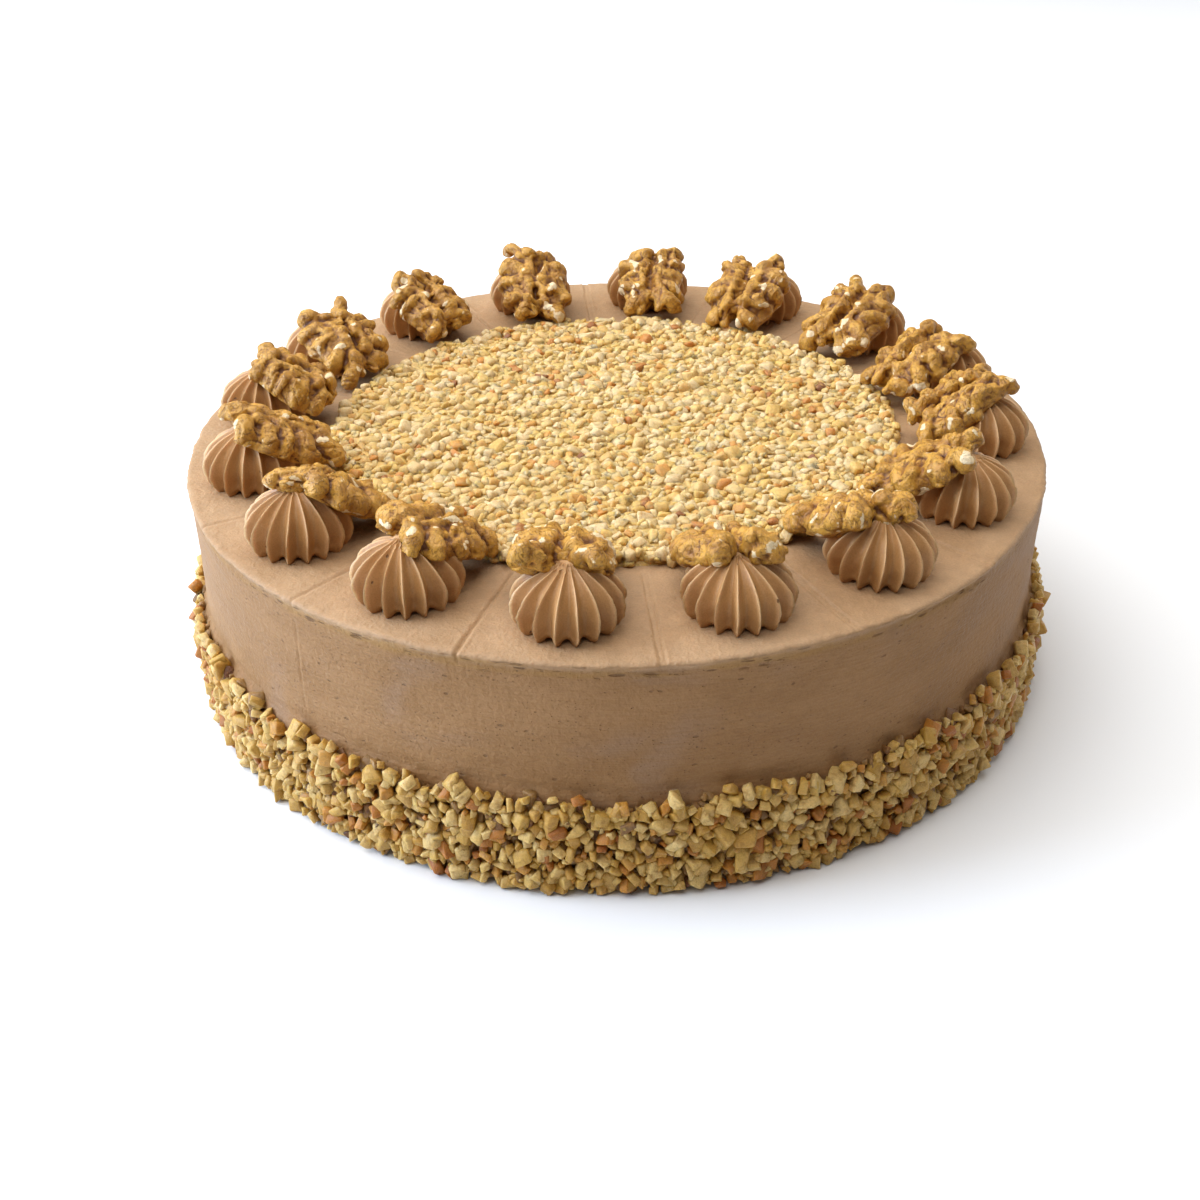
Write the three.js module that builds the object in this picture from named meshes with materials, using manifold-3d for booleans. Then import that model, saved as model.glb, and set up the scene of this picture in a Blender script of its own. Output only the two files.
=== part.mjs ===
// A round, uncut nut torte: a drum of mocha buttercream scored into sixteen portions, with chopped
// nuts in a disc on top and in a band round the foot, and on each portion a piped rosette that
// carries half a walnut. Millimetres, +Z up, origin at the middle of the foot. The side that is seen
// first faces -Y, and azimuths are counted from there towards +X.
import * as THREE from "three";
import { mergeVertices } from "three/addons/utils/BufferGeometryUtils.js";
import Module from "manifold-3d";

const wasm = await Module();
wasm.setup();

// Driving dimensions.
const cake = { radius: 130, height: 70.5, rimRound: 2.8, rimSteps: 2, sides: 68 };
const nutDisc = { radius: 89, bed: 1.3, bump: 1.9, pitch: 6.3, buried: 3 };
const discEdge = { sides: 60, waves: 9, wave: 1.1, ragged: 0.7 };
const nutBand = { height: 32, bed: 3, bump: 3, pitch: 6.2, rows: 5, tuck: 1 };
const bandEdge = { waves: 5, wave: 1.7, ragged: 2 };
const bumpJitter = 0.3; // how far a bump strays, as a share of the pitch
const bigNut = { onDisc: 14, onBand: 20, size: 5.8, sizeSpread: 0.2, proud: 0.8, fromEdge: 16 };
const portion = { count: 16, firstAzimuth: -6.4 };
const score = { width: 2, depth: 0.9 };
const rosette = { radius: 14.9, height: 17.5, circle: 110.5, ridges: 16, valley: 0.82, twist: 7, lean: 1 };
const walnut = { length: 34, width: 27, height: 9.5, columns: 16 };
const walnutLobes = { corner: 0.2, outerNotch: 0.24, innerNotch: 0.34, notchWidth: 0.2, ragged: 0.05 };
const walnutFurrow = { depth: 0.3, width: 0.22 };
const walnutFolds = { wave: 0.1, ragged: 0.08 };
const walnutSeat = { circle: 99.5, above: 9 };
const gap = 0.35; // between two pieces that touch

// Outlines, as [share of radius, share of height]: a rosette's over its ridges, and the walnut's.
const rosetteOutline = [[0, 0], [0.86, 0], [1, 0.34], [0.83, 0.68], [0.34, 0.92], [0, 1]];
const walnutOutline = [[0, -0.1], [0.86, -0.1], [1, 0.25], [0.7, 0.85], [0, 1]];

// How each walnut lies, from the front rosette on: moved outward, aside and up, turned from pointing
// at the middle and sloped in degrees, and its size as a share of the usual one.
const walnutSeats = [
  [0, -2.5, 0, 3, 26, 1.08],
  [1, 1.5, 0, -8, 26, 1.04],
  [1.4, -1, 0, -14, 28, 1.06],
  [1.5, -3, 0, 4, 30, 1],
  [4.2, 0, 2, 28, 26, 0.96],
  [0.5, -3, 0, 12, 27, 0.98],
  [2, -3, 0, 14, 24, 1.03],
  [-1, 0, 0, 4, 25, 1.02],
  [1, -3, 0, 0, 25, 0.97],
  [0.6, 0.2, 0.6, -6, 27, 1],
  [2, 3.2, 1.3, 4, 30, 0.93],
  [2.5, 3, 0, -22, 30, 0.95],
  [2.7, 0, 1.6, -4, 26, 0.95],
  [2.4, -0.4, 1.1, 6, 26, 0.98],
  [1, 0, 0, 16, 32, 1],
  [-1, 0, 0, -12, 26, 1],
];

const radians = THREE.MathUtils.degToRad;
const fullTurn = 2 * Math.PI;
const goldenShare = (Math.sqrt(5) - 1) / 2;

// Even pseudo-random numbers from 0 to 1, the same on every run.
function randomFrom(seed) {
  let state = seed;
  return () => {
    state = (state + 0x6d2b79f5) | 0;
    let t = Math.imul(state ^ (state >>> 15), 1 | state);
    t = (t + Math.imul(t ^ (t >>> 7), 61 | t)) ^ t;
    return ((t ^ (t >>> 14)) >>> 0) / 4294967296;
  };
}

// A value from -1 to 1.
const either = (random) => 2 * random() - 1;

// A rounded dip of 1 at zero that has faded out a little past the given width.
const dip = (x, width) => Math.exp(-((x / width) ** 2));

// Moves every vertex of a geometry, keeping vertices that coincide together.
function reshape(geometry, move) {
  for (const name of Object.keys(geometry.attributes)) {
    if (name !== "position") geometry.deleteAttribute(name);
  }
  const merged = mergeVertices(geometry, 1e-3);
  const position = merged.getAttribute("position");
  const point = new THREE.Vector3();
  for (let i = 0; i < position.count; i++) {
    move(point.fromBufferAttribute(position, i), i);
    position.setXYZ(i, point.x, point.y, point.z);
  }
  return merged;
}

function toSolid(geometry) {
  const merged = reshape(geometry.clone(), () => {});
  const index = merged.index.array;
  const kept = [];
  for (let i = 0; i < index.length; i += 3) {
    const [a, b, c] = index.subarray(i, i + 3);
    if (a !== b && b !== c && c !== a) kept.push(a, b, c);
  }
  return new wasm.Manifold(
    new wasm.Mesh({
      numProp: 3,
      vertProperties: merged.getAttribute("position").array,
      triVerts: new Uint32Array(kept),
    }),
  );
}

function toGeometry(solid) {
  const mesh = solid.getMesh();
  return new THREE.BufferGeometry()
    .setAttribute("position", new THREE.BufferAttribute(mesh.vertProperties, 3))
    .setIndex(new THREE.BufferAttribute(mesh.triVerts, 1));
}

// The piece that holds nearly all of a solid, so that no loose scrap is left beside it.
const largestPiece = (solid) => solid.decompose().sort((a, b) => b.volume() - a.volume())[0];

function lathe(outline, sides) {
  const points = outline.map(([r, z]) => new THREE.Vector2(r, z));
  return new THREE.LatheGeometry(points, sides).rotateX(Math.PI / 2);
}

const rosetteAzimuth = (n) => portion.firstAzimuth + (360 / portion.count) * n;
const scoreAzimuth = (n) => rosetteAzimuth(n + 0.5);

// The drum of buttercream, with its rim rounded over.
function drum() {
  const outline = [[0, 0], [cake.radius, 0]];
  for (let i = 0; i <= cake.rimSteps; i++) {
    const a = (i / cake.rimSteps) * (Math.PI / 2);
    outline.push([
      cake.radius - cake.rimRound * (1 - Math.cos(a)),
      cake.height - cake.rimRound * (1 - Math.sin(a)),
    ]);
  }
  outline.push([0, cake.height]);
  return toSolid(lathe(outline, cake.sides));
}

// A slab with bumps as large as the nuts, trimmed to a round bed with an uneven edge.
function discOfNuts(random) {
  const { radius, bed, bump, pitch, buried } = nutDisc;
  const cells = Math.ceil((2 * radius) / pitch);
  const thickness = bed + buried;
  const slab = reshape(
    new THREE.BoxGeometry(cells * pitch, cells * pitch, thickness, cells, cells, 1),
    (p) => {
      if (p.z < 0) return;
      p.x += bumpJitter * pitch * either(random);
      p.y += bumpJitter * pitch * either(random);
      p.z += bump * random();
    },
  );
  const trim = new THREE.CylinderGeometry(radius, radius, 4 * thickness, discEdge.sides, 1);
  const edge = reshape(trim.rotateX(Math.PI / 2), (p) => {
    if (Math.hypot(p.x, p.y) < radius / 2) return;
    const a = Math.atan2(p.y, p.x);
    const out = radius + discEdge.wave * Math.sin(discEdge.waves * a) + discEdge.ragged * either(random);
    p.x = out * Math.cos(a);
    p.y = out * Math.sin(a);
  });
  const level = cake.height + bed - thickness / 2;
  return toSolid(slab).intersect(toSolid(edge)).translate([0, 0, level]);
}

// The same bumps round the foot, with an uneven upper edge that runs back into the drum.
function bandOfNuts(random) {
  const { height, bed, bump, pitch, rows, tuck } = nutBand;
  const outer = cake.radius + bed;
  const columns = Math.round((fullTurn * outer) / pitch);
  const ring = new THREE.CylinderGeometry(outer, outer, height, columns, rows).rotateX(Math.PI / 2);
  return toSolid(
    reshape(ring, (p) => {
      const level = p.z + height / 2;
      const row = Math.round((level / height) * rows);
      p.z = level;
      if (Math.hypot(p.x, p.y) < outer / 2) return;
      const isFoot = row === 0;
      const isTop = row === rows;
      const isEdge = row >= rows - 1;
      const out = isTop ? cake.radius - tuck : outer + bump * random();
      const a = Math.atan2(p.y, p.x) + (isFoot ? 0 : (bumpJitter * pitch * either(random)) / outer);
      p.x = out * Math.cos(a);
      p.y = out * Math.sin(a);
      if (isEdge) p.z += bandEdge.wave * Math.sin(bandEdge.waves * a) + bandEdge.ragged * either(random);
      else if (!isFoot) p.z += bumpJitter * pitch * either(random);
    }),
  );
}

// One of the larger pieces of nut: a few-sided lump, longer than it is wide.
function bigNutAt(place, random) {
  const size = (bigNut.size / 2) * (1 + bigNut.sizeSpread * either(random));
  const turn = new THREE.Euler(fullTurn * random(), fullTurn * random(), fullTurn * random());
  const lump = new THREE.OctahedronGeometry(size).scale(1.15, 0.9, 0.85);
  const spin = new THREE.Matrix4().makeRotationFromEuler(turn);
  return toSolid(lump.applyMatrix4(spin).translate(place.x, place.y, place.z));
}

// Larger nuts, spread evenly: in a sunflower's order over the disc, and round the band.
function bigNuts(random) {
  const lumps = [];
  for (let i = 0; i < bigNut.onDisc; i++) {
    const distance = (nutDisc.radius - bigNut.fromEdge) * Math.sqrt((i + 0.5) / bigNut.onDisc);
    const level = cake.height + nutDisc.bed + bigNut.proud;
    const a = fullTurn * goldenShare * i;
    const place = new THREE.Vector3(distance * Math.cos(a), distance * Math.sin(a), level);
    lumps.push(bigNutAt(place, random));
  }
  const lowest = 0.8 * bigNut.size;
  const highest = nutBand.height - bandEdge.wave - lowest;
  for (let i = 0; i < bigNut.onBand; i++) {
    const a = (fullTurn * i) / bigNut.onBand;
    const level = lowest + (highest - lowest) * ((i * goldenShare) % 1);
    const out = cake.radius + nutBand.bed + bigNut.proud;
    lumps.push(bigNutAt(new THREE.Vector3(out * Math.cos(a), out * Math.sin(a), level), random));
  }
  return wasm.Manifold.union(lumps);
}

// A V-shaped cutter for one portion mark, across the top from the nuts to the rim.
function portionMark(azimuth) {
  const { width, depth } = score;
  const wedge = new THREE.Shape([
    new THREE.Vector2(-width / 2, 0),
    new THREE.Vector2(0, -depth),
    new THREE.Vector2(width / 2, 0),
    new THREE.Vector2(0, depth),
  ]);
  const innerEnd = nutDisc.radius - 2;
  return toSolid(
    new THREE.ExtrudeGeometry(wedge, { depth: cake.radius - innerEnd + 1, bevelEnabled: false })
      .rotateX(Math.PI / 2)
      .translate(0, -innerEnd, cake.height)
      .rotateZ(radians(azimuth)),
  );
}

function cakeBody() {
  const random = randomFrom(11);
  const marks = [];
  for (let n = 0; n < portion.count; n++) marks.push(portionMark(scoreAzimuth(n)));
  const scored = drum().subtract(wasm.Manifold.union(marks));
  const nuts = [discOfNuts(random), bandOfNuts(random), bigNuts(random)];
  return largestPiece(wasm.Manifold.union([scored, ...nuts]));
}

// A rosette from a star nozzle: a bulb whose sides are ridges and valleys that meet in its tip.
function rosetteGeometry(random) {
  const { radius, height, ridges, valley, twist, lean } = rosette;
  const outline = rosetteOutline.map(([r, z]) => [r * radius, z * height]);
  const turned = radians(twist) * (0.5 + random());
  const leanX = lean * either(random);
  const leanY = lean * either(random);
  return reshape(lathe(outline, 2 * ridges), (p) => {
    const around = Math.hypot(p.x, p.y);
    const a = Math.atan2(p.y, p.x);
    const column = Math.round((a / fullTurn) * 2 * ridges);
    const share = p.z / height;
    const out = around * (column % 2 === 0 ? 1 : valley);
    p.x = out * Math.cos(a + turned * share) + leanX * share ** 2;
    p.y = out * Math.sin(a + turned * share) + leanY * share ** 2;
  });
}

// A plain bulb that clears the rosette however it leans, to keep the walnut off it.
function rosetteClearance() {
  const sides = 8;
  const overRidges = 1 / Math.cos(Math.PI / sides);
  const outline = rosetteOutline.map(([r, z]) => [
    (r * rosette.radius + 1.5 * rosette.lean * z ** 2 + gap) * overRidges,
    z * (rosette.height + gap),
  ]);
  outline[0] = [0, 0];
  outline.push([0, rosette.height + gap]);
  return toSolid(lathe(outline, sides));
}

// Half a walnut kernel, its rounded side up and its length along X: two halves of a brain with a
// furrow between them, and a notch at either end and at either side, which leave four lobes.
function walnutGeometry(random) {
  const { length, width, height, columns } = walnut;
  return reshape(lathe(walnutOutline, columns), (p) => {
    const a = Math.atan2(p.y, p.x);
    const edge = Math.hypot(p.x, p.y);
    const notch = p.x > 0 ? walnutLobes.outerNotch : walnutLobes.innerNotch;
    const corner = walnutLobes.corner * Math.sin(2 * a) ** 2;
    const rim = corner - notch * dip(p.y, walnutLobes.notchWidth) + walnutLobes.ragged * either(random);
    const lobe = 1 + edge ** 2 * rim;
    const furrow = walnutFurrow.depth * dip(p.y, walnutFurrow.width);
    const fold = walnutFolds.wave * Math.sin(3 * a) + walnutFolds.ragged * either(random);
    p.x *= (length / 2) * lobe;
    p.y *= (width / 2) * lobe;
    p.z *= height * (1 - furrow + (p.z > 0 ? fold : 0));
  });
}

// The walnut on rosette n: it leans on the inner shoulder with the rosette's tip in its outer
// notch, and its inner end lies just above the chopped nuts. No two are quite alike.
function seatedWalnut(n, random) {
  const [outward, aside, up, turn, slope, size] = walnutSeats[n];
  const lying = toSolid(walnutGeometry(random).scale(size, size, size))
    .rotate([0, -slope, 0])
    .rotate([0, 0, turn])
    .translate([walnutSeat.circle - rosette.circle + outward, aside, walnutSeat.above + up]);
  const bedTop = nutDisc.bed + nutDisc.bump + gap;
  const reach = 3 * walnut.length; // larger than the walnut every way
  const below = toSolid(new THREE.BoxGeometry(reach, reach, reach).translate(0, 0, bedTop - reach / 2));
  return largestPiece(lying.subtract(below).subtract(rosetteClearance()));
}

const cream = new THREE.MeshStandardMaterial({ color: 0xb98f6a, roughness: 0.62, metalness: 0 });
const kernel = new THREE.MeshStandardMaterial({ color: 0xb5813f, roughness: 0.5, metalness: 0 });
const torte = new THREE.MeshStandardMaterial({ color: 0xc09a72, roughness: 0.7, metalness: 0 });

function namedMesh(name, geometry, material) {
  const mesh = new THREE.Mesh(geometry, material);
  mesh.name = name;
  return mesh;
}

const nutTorte = new THREE.Group();
nutTorte.add(namedMesh("cake", toGeometry(cakeBody()), torte));

for (let n = 0; n < portion.count; n++) {
  const random = randomFrom(100 + n);
  const label = String(n + 1).padStart(2, "0");
  const outward = radians(rosetteAzimuth(n) - 90); // local +X points out over the rim
  const topping = new THREE.Group();
  topping.position.set(
    rosette.circle * Math.cos(outward),
    rosette.circle * Math.sin(outward),
    cake.height + gap,
  );
  topping.rotation.z = outward;
  topping.add(namedMesh(`rosette_${label}`, rosetteGeometry(random), cream));
  topping.add(namedMesh(`walnut_${label}`, toGeometry(seatedWalnut(n, random)), kernel));
  nutTorte.add(topping);
}

export default nutTorte;
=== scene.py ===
import math
import random

import bmesh
import bpy
from mathutils import Euler, Matrix, Vector, noise
from mathutils.geometry import interpolate_bezier


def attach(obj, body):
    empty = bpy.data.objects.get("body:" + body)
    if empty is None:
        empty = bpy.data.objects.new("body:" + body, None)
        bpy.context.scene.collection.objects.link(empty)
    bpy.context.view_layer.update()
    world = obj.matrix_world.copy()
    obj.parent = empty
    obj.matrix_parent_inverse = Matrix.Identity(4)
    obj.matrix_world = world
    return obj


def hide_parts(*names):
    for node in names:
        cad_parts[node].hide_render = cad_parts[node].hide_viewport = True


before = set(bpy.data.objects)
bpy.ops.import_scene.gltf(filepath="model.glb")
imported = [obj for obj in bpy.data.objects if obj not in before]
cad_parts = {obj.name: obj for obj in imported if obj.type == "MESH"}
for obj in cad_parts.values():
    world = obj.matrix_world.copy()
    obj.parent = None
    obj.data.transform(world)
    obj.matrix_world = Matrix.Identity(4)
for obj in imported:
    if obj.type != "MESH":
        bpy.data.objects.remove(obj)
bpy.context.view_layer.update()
print("frame loaded")

# Pieces are modelled in millimetres, and addPiece brings them to metres.
milli = 0.001
fullTurn = 2 * math.pi

# Azimuths are counted from -Y towards +X, in degrees.
portions = {"count": 16, "firstAzimuth": -6.4}
portionAngle = 360 / portions["count"]


def bell(x, width):  # 1 at zero, faded out a little past the width
    return math.exp(-((x / width) ** 2))


def ramp(low, high, x):  # 0 below low, 1 above high, smooth between
    t = min(1.0, max(0.0, (x - low) / (high - low)))
    return t * t * (3 - 2 * t)


def wave(x, y, z=0.0):  # smooth noise from -1 to 1, its lumps about one unit wide
    return noise.noise(Vector((x, y, z)))


def azimuthOf(x, y):
    return math.degrees(math.atan2(x, -y))


def onCircle(azimuth, radius, height=0.0):
    a = math.radians(azimuth)
    return Vector((radius * math.sin(a), -radius * math.cos(a), height))


def turned(outline, columns, wedges):  # an outline of [radius, height] spun round Z, wedge by wedge
    wedge = bmesh.new()
    verts = [wedge.verts.new((radius, 0, height)) for radius, height in outline]
    edges = [wedge.edges.new(pair) for pair in zip(verts, verts[1:])]
    bmesh.ops.spin(wedge, geom=verts + edges, axis=(0, 0, 1), angle=fullTurn / wedges,
                   steps=columns // wedges)
    mesh = bpy.data.meshes.new("wedge")
    wedge.to_mesh(mesh)
    wedge.free()
    bm = bmesh.new()
    for i in range(wedges):
        bm.from_mesh(mesh)
        mesh.transform(Matrix.Rotation(fullTurn / wedges, 4, "Z"))
    bpy.data.meshes.remove(mesh)
    bmesh.ops.remove_doubles(bm, verts=bm.verts[:], dist=1e-3)
    bmesh.ops.recalc_face_normals(bm, faces=bm.faces[:])
    return bm


def addPiece(bm, name, finish, nodes):
    bmesh.ops.scale(bm, vec=(milli, milli, milli), verts=bm.verts[:])
    mesh = bpy.data.meshes.new(name)
    bm.to_mesh(mesh)
    bm.free()
    mesh.shade_smooth()
    mesh.materials.append(finish)
    piece = bpy.data.objects.new(name, mesh)
    bpy.context.scene.collection.objects.link(piece)
    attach(piece, "root")
    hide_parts(*nodes)


def addNode(tree, kind, inputs=None, **settings):
    node = tree.nodes.new(kind)
    for name, value in settings.items():
        setattr(node, name, value)
    for name, value in (inputs or {}).items():
        if isinstance(value, bpy.types.NodeSocket):
            tree.links.new(value, node.inputs[name])
        else:
            node.inputs[name].default_value = value
    return node


def calculate(tree, operation, first, second=0.0, clamp=False):
    node = addNode(tree, "ShaderNodeMath", {0: first, 1: second}, operation=operation, use_clamp=clamp)
    return node.outputs[0]


def blendColours(tree, share, first, second, blendType="MIX"):
    node = addNode(tree, "ShaderNodeMix", {0: share, 6: first, 7: second}, data_type="RGBA",
                   blend_type=blendType)
    return node.outputs[2]


def remap(tree, value, low, high, toLow=0.0, toHigh=1.0):
    inputs = {"Value": value, "From Min": low, "From Max": high, "To Min": toLow, "To Max": toHigh}
    return addNode(tree, "ShaderNodeMapRange", inputs, interpolation_type="SMOOTHSTEP").outputs[0]


def newGroup(name, inputs, outputs):
    group = bpy.data.node_groups.new(name, "ShaderNodeTree")
    for title, kind, value in inputs:
        socket = group.interface.new_socket(title, in_out="INPUT", socket_type=kind)
        socket.default_value = value
    for title in outputs:
        group.interface.new_socket(title, in_out="OUTPUT", socket_type="NodeSocketFloat")
    return group, group.nodes.new("NodeGroupInput"), group.nodes.new("NodeGroupOutput")


def placeGroup(tree, group, inputs):
    node = addNode(tree, "ShaderNodeGroup", node_tree=group)
    for name, value in inputs.items():
        node.inputs[name].default_value = value
    return node.outputs[0]


def perMillimetre(x, y=None, z=None):  # the scale that makes a texture's lumps this many mm long
    y = x if y is None else y
    z = x if z is None else z
    return (1 / (x * milli), 1 / (y * milli), 1 / (z * milli))


def spotsGroup():  # small separate spots, each an ellipsoid of the same proportions
    group, given, result = newGroup(
        "scattered spots",
        [("Scale", "NodeSocketVector", (1000, 1000, 1000)), ("Share", "NodeSocketFloat", 0.5),
         ("Radius", "NodeSocketFloat", 0.3)],
        ["Spots"],
    )
    place = addNode(group, "ShaderNodeTexCoord").outputs["Object"]
    scaled = addNode(group, "ShaderNodeVectorMath", {0: place, 1: given.outputs["Scale"]},
                     operation="MULTIPLY").outputs[0]
    bend = addNode(group, "ShaderNodeTexNoise", {"Vector": scaled, "Scale": 0.9, "Detail": 1.0})
    bent = addNode(group, "ShaderNodeVectorMath",
                   {0: bend.outputs["Color"], 1: (0.7, 0.7, 0.7), 2: scaled},
                   operation="MULTIPLY_ADD").outputs[0]
    cells = addNode(group, "ShaderNodeTexVoronoi", {"Vector": bent, "Scale": 1.0})
    pick = addNode(group, "ShaderNodeSeparateColor", {0: cells.outputs["Color"]})
    chosen = calculate(group, "LESS_THAN", pick.outputs[0], given.outputs["Share"])
    sizeShare = remap(group, pick.outputs[1], 0, 1, 0.4, 1)
    size = calculate(group, "MULTIPLY", given.outputs["Radius"], sizeShare)
    depth = calculate(group, "DIVIDE", cells.outputs["Distance"], size)
    inside = remap(group, depth, 0.7, 1.15, 1, 0)
    group.links.new(calculate(group, "MULTIPLY", inside, chosen), result.inputs["Spots"])
    return group


def grainGroup():  # soft lumps with finer ones in them
    group, given, result = newGroup(
        "layered grain",
        [("Scale", "NodeSocketVector", (1000, 1000, 1000)), ("Detail", "NodeSocketFloat", 3.0),
         ("Bend", "NodeSocketFloat", 0.0)],
        ["Grain"],
    )
    place = addNode(group, "ShaderNodeTexCoord").outputs["Object"]
    scaled = addNode(group, "ShaderNodeVectorMath", {0: place, 1: given.outputs["Scale"]},
                     operation="MULTIPLY").outputs[0]
    lumps = addNode(group, "ShaderNodeTexNoise", {"Vector": scaled, "Scale": 1.0,
                                                  "Detail": given.outputs["Detail"],
                                                  "Distortion": given.outputs["Bend"]})
    group.links.new(lumps.outputs["Fac"], result.inputs["Grain"])
    return group


spots = spotsGroup()
grain = grainGroup()


def newFinish(name, **sockets):
    material = bpy.data.materials.new(name)
    material.use_nodes = True
    tree = material.node_tree
    shader = tree.nodes["Principled BSDF"]
    for title, value in sockets.items():
        shader.inputs[title.replace("_", " ")].default_value = value
    return material, tree, shader


def attribute(tree, name):
    return addNode(tree, "ShaderNodeAttribute", attribute_name=name).outputs["Fac"]


def grainOf(tree, scale, detail=3.0, bend=0.0):
    return placeGroup(tree, grain, {"Scale": scale, "Detail": detail, "Bend": bend})


def spotsOf(tree, scale, share, radius):
    return placeGroup(tree, spots, {"Scale": scale, "Share": share, "Radius": radius})


def shaded(tree, colour, value, low, high):  # the colour made darker and lighter by a grain
    tint = remap(tree, value, 0.3, 0.7, low, high)
    grey = addNode(tree, "ShaderNodeCombineColor", {0: tint, 1: tint, 2: tint}).outputs[0]
    return blendColours(tree, 1.0, colour, grey, "MULTIPLY")


def raised(tree, shader, height, distance):  # a relief that stands up by about that many mm
    bump = addNode(tree, "ShaderNodeBump", {"Height": height, "Distance": distance * milli})
    tree.links.new(bump.outputs["Normal"], shader.inputs["Normal"])


# Buttercream over the whole drum.

frosting = {
    "radius": 130, "height": 70.5, "rim": 1.2, "rimSteps": 5,
    "columns": 960, "crowding": 0.55,  # the columns crowd at the portion marks
    "nutsTo": 84, "topRow": 1.3, "sideRow": 1.2, "bandRow": 2.1,
    "bandHeight": 31, "bandBulge": 1.4,
    "topRelief": [(0.34, 24, 0), (0.13, 7, 3), (0.05, 2.6, 5)],  # height, width of its lumps, seed
    "sideRelief": [(0.40, 26, 14), (0.13, 8, 3.5)],  # height, width of its lumps, how tall they are
    "ringStreaks": 0.08, "sideStreaks": 0.10,  # what the spatula leaves
    "lip": 0.4, "lipWaves": 0.4, "lipGrain": 0.22, "smear": 0.6, "dents": 0.2,
    "light": (0.402, 0.250, 0.134, 1), "dark": (0.366, 0.220, 0.112, 1),
    # the side's colours are a darker, more saturated copy of the top's: painted shade on the side
    "shadedSideLight": (0.325, 0.174, 0.073, 1), "shadedSideDark": (0.275, 0.140, 0.052, 1),
    # the hole colour is painted shade inside the air holes and pits
    "mauve": (0.295, 0.172, 0.094, 1), "tan": (0.34, 0.180, 0.052, 1), "holeShade": (0.10, 0.045, 0.018, 1),
    "markDownSide": 14,  # the portion mark that runs on down the side
}
# each mark in turn: lines it is made of as [offset, width, depth], and how high its burr stands
doubleMark = {"lines": [[-0.75, 0.35, 0.5], [0.75, 0.35, 0.6], [0, 0.9, 0.3]], "burr": 0.2}
thinMark = {"lines": [[0, 0.42, 0.85]], "burr": 0.26}
faintMark = {"lines": [[0, 0.5, 0.45]], "burr": 0.14}
marks = [doubleMark, doubleMark, doubleMark, faintMark, doubleMark, thinMark, doubleMark, faintMark,
         doubleMark, thinMark, faintMark, thinMark, doubleMark, faintMark, faintMark, thinMark]


def frostingOutline():
    s = frosting
    outline = [(0, s["height"]), (s["nutsTo"] - 4, s["height"])]
    flatTo = s["radius"] - s["rim"]
    rows = round((flatTo - s["nutsTo"]) / s["topRow"])
    outline += [(s["nutsTo"] + (flatTo - s["nutsTo"]) * i / rows, s["height"]) for i in range(rows)]
    for i in range(s["rimSteps"] + 1):
        a = math.pi / 2 * i / s["rimSteps"]
        outline.append((flatTo + s["rim"] * math.sin(a), s["height"] - s["rim"] * (1 - math.cos(a))))
    sideFrom = s["height"] - s["rim"]
    rows = round((sideFrom - s["bandHeight"]) / s["sideRow"])
    outline += [(s["radius"], sideFrom + (s["bandHeight"] - sideFrom) * i / rows)
                for i in range(1, rows + 1)]
    rows = round(s["bandHeight"] / s["bandRow"])
    outline += [(s["radius"], s["bandHeight"] * (1 - i / rows)) for i in range(1, rows + 1)]
    return outline + [(s["radius"] / 2, 0), (0, 0)]


def bandEdge(azimuth):  # how high the chopped nuts reach up the side
    a = math.radians(azimuth)
    long = 1.6 * wave(3 * math.cos(a), 3 * math.sin(a), 5.1)
    short = 1.2 * wave(11 * math.cos(a), 11 * math.sin(a), 8.3)
    return frosting["bandHeight"] - 0.5 + long + short


def markDepth(azimuth, radius):  # how deep the nearest portion mark is there
    count = portions["count"]
    turn = (azimuth - portions["firstAzimuth"]) / portionAngle - 0.5
    n = round(turn)
    aside = math.radians((turn - n) * portionAngle) * radius + 0.5 * wave(radius / 14, 7.7 * n)
    if abs(aside) > 3:
        return 0.0
    mark = marks[n % count]
    rough = 0.75 + 0.5 * wave(radius / 2.2, 3.1 * n, aside)
    cut = max(depth * bell(aside - offset, width) for offset, width, depth in mark["lines"])
    ridge = mark["burr"] * (bell(aside - 1.3, 0.45) + bell(aside + 1.3, 0.45))
    ridge *= max(0.0, 0.5 + 1.2 * wave(radius / 3.5, 5.3 * n, 2 if aside > 0 else 9))
    return cut * rough - ridge


def lineDownSide(azimuth, z):  # how deep the line is that one portion mark leaves in the side
    turn = (azimuth - portions["firstAzimuth"]) / portionAngle - 0.5
    n = round(turn)
    if n % portions["count"] != frosting["markDownSide"]:
        return 0.0
    aside = math.radians((turn - n) * portionAngle) * frosting["radius"] + 0.4 * wave(z / 15, 3.3)
    return max(0.0, 0.7 + wave(z / 6, 1.7)) * (0.3 * bell(aside, 0.4) - 0.12 * bell(aside - 1.1, 0.5))


def topLift(x, y, cos, sin, radius, azimuth):  # how much an uneven place of the top stands up
    s = frosting
    lift = sum(height * wave(x / wide, y / wide, seed) for height, wide, seed in s["topRelief"])
    lift += s["ringStreaks"] * wave(radius / 1.5, 9 * cos, 9 * sin)
    lift -= markDepth(azimuth, radius) * ramp(s["nutsTo"] + 3, s["nutsTo"] + 9, radius)
    return lift + s["lipGrain"] * wave(x / 5, y / 5, 9) * bell(radius - s["radius"] + s["rim"], 1.6)


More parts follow.
